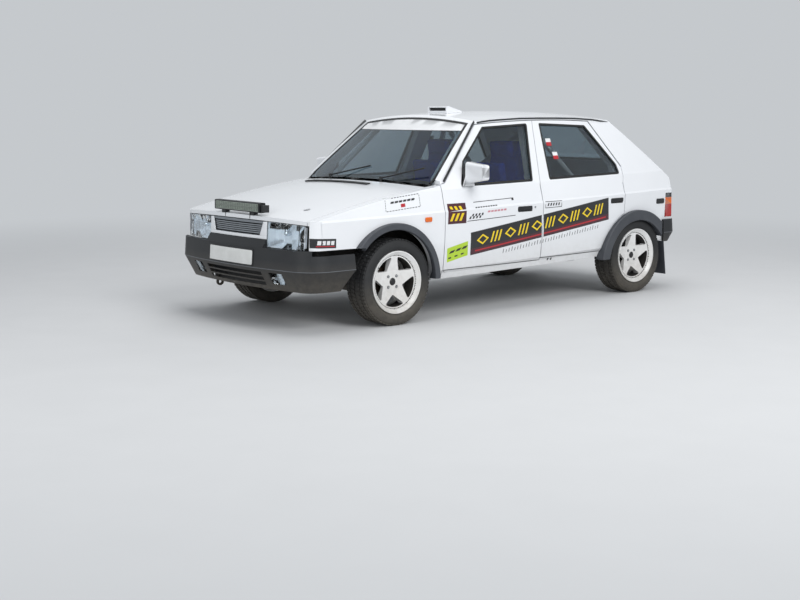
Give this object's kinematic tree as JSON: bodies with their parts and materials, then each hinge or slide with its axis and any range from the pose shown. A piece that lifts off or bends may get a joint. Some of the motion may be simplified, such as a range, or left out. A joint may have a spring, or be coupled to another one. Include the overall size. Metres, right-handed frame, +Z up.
{
  "type": "rally car",
  "caption": "Boxy rally-prepared hatchback with opening doors, hood and tailgate, steered front wheels, bucket seats and a roll cage.",
  "frame": {"origin": "on the ground under the middle of the overall box", "axes": "+X forward, +Y to the car's left, +Z up"},
  "size_m": [3.8148, 1.856, 1.436],
  "materials": {
    "white_paint": "gloss",
    "inner_paint": "satin",
    "wheel_paint": "gloss",
    "cage_paint": "gloss",
    "bumper_plastic": "grained",
    "black_plastic": "satin",
    "grille_plastic": "satin",
    "clear_lens": "clear",
    "lamp_lens": "clear gloss",
    "side_glass": "clear",
    "screen_glass": "laminated",
    "tyre_rubber": "matt",
    "seat_fabric": "woven",
    "dash_plastic": "matt",
    "wheel_rim_leather": "suede",
    "chassis_paint": "satin",
    "knuckle_iron": "as cast",
    "engine_aluminium": "cast",
    "exhaust_steel": "dull"
  },
  "bodies": {
    "shell": {"body_sides": "white_paint", "roof_panel": "white_paint", "front_structure": "inner_paint", "front_fenders": "white_paint", "floor_pan": "inner_paint", "windscreen": "screen_glass", "front_bumper": "bumper_plastic", "rear_bumper": "bumper_plastic", "grille": "grille_plastic", "front_lamps": "clear_lens", "tail_lamps": "lamp_lens", "arch_trim": "bumper_plastic", "roof_vent": "white_paint", "wipers": "black_plastic", "seats": "seat_fabric", "roll_cage": "cage_paint", "dashboard": "dash_plastic", "front_suspension": "chassis_paint", "rear_axle": "chassis_paint", "engine_block": "engine_aluminium", "exhaust": "exhaust_steel"},
    "hood": {"hood": "white_paint", "light_bar": "black_plastic"},
    "hatch": {"hatch": "white_paint", "hatch_glass": "screen_glass"},
    "steering": {"steering_wheel": "wheel_rim_leather"},
    "door_front_left": {"door_front_left": "white_paint", "glass_front_left": "side_glass", "mirror_left": "white_paint"},
    "door_rear_left": {"door_rear_left": "white_paint", "glass_rear_left": "side_glass"},
    "knuckle_left": {"knuckle_left": "knuckle_iron"},
    "wheel_front_left": {"rim_front_left": "wheel_paint", "tyre_front_left": "tyre_rubber"},
    "wheel_rear_left": {"rim_rear_left": "wheel_paint", "tyre_rear_left": "tyre_rubber"},
    "door_front_right": {"door_front_right": "white_paint", "glass_front_right": "side_glass", "mirror_right": "white_paint"},
    "door_rear_right": {"door_rear_right": "white_paint", "glass_rear_right": "side_glass"},
    "knuckle_right": {"knuckle_right": "knuckle_iron"},
    "wheel_front_right": {"rim_front_right": "wheel_paint", "tyre_front_right": "tyre_rubber"},
    "wheel_rear_right": {"rim_rear_right": "wheel_paint", "tyre_rear_right": "tyre_rubber"}
  },
  "joints": [
    {"name": "door_front_left_hinge", "type": "hinge", "parent": "shell", "child": "door_front_left", "pos_m": [0.697, 0.806, 0.7], "axis": [0, 0, -1], "range_deg": [0, 65]},
    {"name": "door_rear_left_hinge", "type": "hinge", "parent": "shell", "child": "door_rear_left", "pos_m": [-0.253, 0.806, 0.7], "axis": [0, 0, -1], "range_deg": [0, 62]},
    {"name": "steer_left", "type": "hinge", "parent": "shell", "child": "knuckle_left", "pos_m": [1.12, 0.657, 0.19], "axis": [0, -0.1616, 0.9869], "range_deg": [-32, 32]},
    {"name": "wheel_front_left_spin", "type": "hinge", "parent": "knuckle_left", "child": "wheel_front_left", "pos_m": [1.12, 0.7, 0.288], "axis": [0, 1, 0], "continuous": true},
    {"name": "wheel_rear_left_spin", "type": "hinge", "parent": "shell", "child": "wheel_rear_left", "pos_m": [-1.33, 0.6875, 0.288], "axis": [0, 1, 0], "continuous": true},
    {"name": "door_front_right_hinge", "type": "hinge", "parent": "shell", "child": "door_front_right", "pos_m": [0.697, -0.806, 0.7], "axis": [0, 0, 1], "range_deg": [0, 65]},
    {"name": "door_rear_right_hinge", "type": "hinge", "parent": "shell", "child": "door_rear_right", "pos_m": [-0.253, -0.806, 0.7], "axis": [0, 0, 1], "range_deg": [0, 62]},
    {"name": "steer_right", "type": "hinge", "parent": "shell", "child": "knuckle_right", "pos_m": [1.12, -0.657, 0.19], "axis": [0, 0.1616, 0.9869], "range_deg": [-32, 32]},
    {"name": "wheel_front_right_spin", "type": "hinge", "parent": "knuckle_right", "child": "wheel_front_right", "pos_m": [1.12, -0.7, 0.288], "axis": [0, 1, 0], "continuous": true},
    {"name": "wheel_rear_right_spin", "type": "hinge", "parent": "shell", "child": "wheel_rear_right", "pos_m": [-1.33, -0.6875, 0.288], "axis": [0, 1, 0], "continuous": true},
    {"name": "hood_hinge", "type": "hinge", "parent": "shell", "child": "hood", "pos_m": [0.73, 0, 0.905], "axis": [0, -1, 0], "range_deg": [0, 50]},
    {"name": "hatch_hinge", "type": "hinge", "parent": "shell", "child": "hatch", "pos_m": [-1.222, 0, 1.342], "axis": [0, 1, 0], "range_deg": [0, 75]},
    {"name": "steering_column", "type": "hinge", "parent": "shell", "child": "steering", "pos_m": [0.205, 0.365, 0.8], "axis": [-0.9135, 0, 0.4067], "range_deg": [-528, 528]}
  ],
  "couplings": [
    {"joint": "steer_right", "follows": "steer_left", "ratio": 1},
    {"joint": "steering_column", "follows": "steer_left", "ratio": 16}
  ]
}
